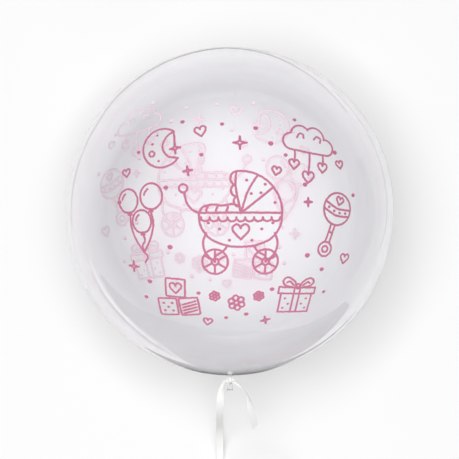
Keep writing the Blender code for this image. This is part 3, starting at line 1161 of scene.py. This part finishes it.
def light_scene():
    world = bpy.data.worlds.new("studio")
    world.use_nodes = True
    tree = world.node_tree
    tree.nodes.clear()
    path = add_node(tree, "ShaderNodeLightPath")
    by_film = add_node(
        tree,
        "ShaderNodeMath",
        {"operation": "MAXIMUM"},
        links={0: path.outputs["Is Glossy Ray"], 1: path.outputs["Is Transmission Ray"]},
    )
    seen = add_node(
        tree,
        "ShaderNodeMath",
        {"operation": "MAXIMUM"},
        links={0: path.outputs["Is Camera Ray"], 1: by_film.outputs[0]},
    )
    way = add_node(tree, "ShaderNodeTexCoord")
    height = add_node(tree, "ShaderNodeSeparateXYZ", links={0: way.outputs["Generated"]})
    reflected = add_node(
        tree,
        "ShaderNodeMapRange",
        inputs={"From Max": SKY_FULL_AT, "To Min": REFLECTED_LEVELS[0], "To Max": REFLECTED_LEVELS[1]},
        links={"Value": height.outputs["Z"]},
    )
    level = add_node(
        tree,
        "ShaderNodeMapRange",
        inputs={"To Min": WORLD_LEVEL},
        links={"Value": seen.outputs[0], "To Max": reflected.outputs[0]},
    )
    sky = add_node(
        tree,
        "ShaderNodeBackground",
        inputs={"Color": linear("#FFFFFF")},
        links={"Strength": level.outputs[0]},
    )
    add_node(tree, "ShaderNodeOutputWorld", links={"Surface": sky.outputs[0]})
    bpy.context.scene.world = world
    soft_light("key", KEY_PLACE, (0, 0, 0), KEY_SIZE, KEY_SIZE, KEY_WATTS)
    soft_light("front_fill", FRONT_FILL_PLACE, KNOT_CENTRE, *FRONT_FILL_SIZE, FRONT_FILL_WATTS)
    glow = soft_light("glow_inside", GLOW_PLACE, (*GLOW_PLACE[:2], 0), *GLOW_SIZE, GLOW_WATTS)
    glow.data.shape = "ELLIPSE"
    bpy.context.scene.view_settings.view_transform = "Standard"
    bpy.context.scene.cycles.caustics_reflective = False
    bpy.context.scene.cycles.caustics_refractive = False


light_scene()
print(f"lights: key {KEY_WATTS} W, front fill {FRONT_FILL_WATTS} W, glow inside {GLOW_WATTS} W")

# %% [markdown]
# The lines along the rim are reflections of bright and dark cards, which a studio sets low round a shiny
# thing. Here they lie just above the floor, and only the gloss of the film shows them. Each card is given
# by where its reflection is wanted: degrees round the bubble from +X, and shares of the bubble's radius.

# %% Cards for the film's gloss
CARD_HEIGHT = 2 * MM
CARDS = (
    ("rim_band_right", 0.92, ((-42, 0.970, 0.976), (0, 0.962, 0.986), (30, 0.966, 0.990), (55, 0.970, 0.992),
     (74, 0.984, 0.996))),
    ("rim_band_left", 1.05, ((118, 0.988, 0.998), (135, 0.981, 0.998), (165, 0.972, 0.998), (208, 0.975, 0.996))),
    ("top_line_dark", 0.25, ((40, 0.916, 0.923), (50, 0.930, 0.939), (60, 0.943, 0.954), (75, 0.967, 0.977),
     (90, 0.982, 0.990), (105, 0.979, 0.988), (120, 0.974, 0.982), (135, 0.966, 0.974),
     (150, 0.954, 0.961), (165, 0.953, 0.960), (186, 0.958, 0.963))),
    ("right_line_dark", 0.45, ((50, 0.956, 0.960), (30, 0.948, 0.957), (0, 0.942, 0.952), (-14, 0.932, 0.937))),
    ("upper_streak", 1.05, ((26, 0.902, 0.922), (40, 0.927, 0.941), (52, 0.943, 0.953), (66, 0.962, 0.969))),
    ("lower_streak", 1.7, ((199, 0.888, 0.893), (212, 0.890, 0.903), (226, 0.892, 0.905), (241, 0.910, 0.917))),
    ("lower_line_dark", 0.3, ((203, 0.909, 0.914), (215, 0.908, 0.920), (228, 0.908, 0.921), (241, 0.921, 0.934),
     (250, 0.938, 0.944))),
    ("neck_side_dark", 0.0, ((238, 0.970, 0.974), (250, 0.962, 0.986), (260, 0.962, 0.9985), (280, 0.962, 0.9985),
     (290, 0.963, 0.986), (300, 0.968, 0.978), (322, 0.973, 0.976))),
    ("lower_dark", 0.05, ((206, 0.862, 0.872), (222, 0.815, 0.884), (242, 0.745, 0.900), (256, 0.720, 0.955),
     (270, 0.715, 0.961), (288, 0.760, 0.960), (304, 0.82, 0.950), (322, 0.88, 0.92))),
    ("right_dark", 0.55, ((-30, 0.80, 0.83), (-16, 0.76, 0.86), (3, 0.75, 0.87), (22, 0.80, 0.85))),
)


def floor_reach(share):
    """How far from the bubble's axis the reflection seen at that share of its radius meets the floor."""
    share = min(share, 0.999)
    tilt = math.asin(share)
    height = CENTRE_HEIGHT + BUBBLE_RADIUS * math.cos(tilt)
    return BUBBLE_RADIUS * share + height / math.tan(2 * tilt - math.pi / 2)


def make_card(name, level, rows):
    material, tree = new_material(name + "_card")
    material.cycles.emission_sampling = "NONE"
    light = add_node(tree, "ShaderNodeEmission", inputs={"Strength": level})
    add_node(tree, "ShaderNodeOutputMaterial", links={"Surface": light.outputs[0]})
    smooth = through_points(rows, 12)
    builder = bmesh.new()
    bmesh.ops.create_grid(builder, x_segments=len(smooth) - 1, y_segments=1, size=0.5)
    for vertex in builder.verts:
        turn, near, far = smooth[round((vertex.co.x + 0.5) * (len(smooth) - 1))]
        reach = floor_reach(near if vertex.co.y > 0 else far)
        angle = math.radians(turn)
        vertex.co = (reach * math.cos(angle), reach * math.sin(angle), CARD_HEIGHT)
    mesh = bpy.data.meshes.new(name)
    builder.to_mesh(mesh)
    builder.free()
    mesh.materials.append(material)
    card = bpy.data.objects.new(name, mesh)
    bpy.context.scene.collection.objects.link(card)
    for ray in ("camera", "diffuse", "transmission", "shadow", "volume_scatter"):
        setattr(card, "visible_" + ray, False)


for card in CARDS:
    make_card(*card)
print(f"{len(CARDS)} cards for the film's gloss")
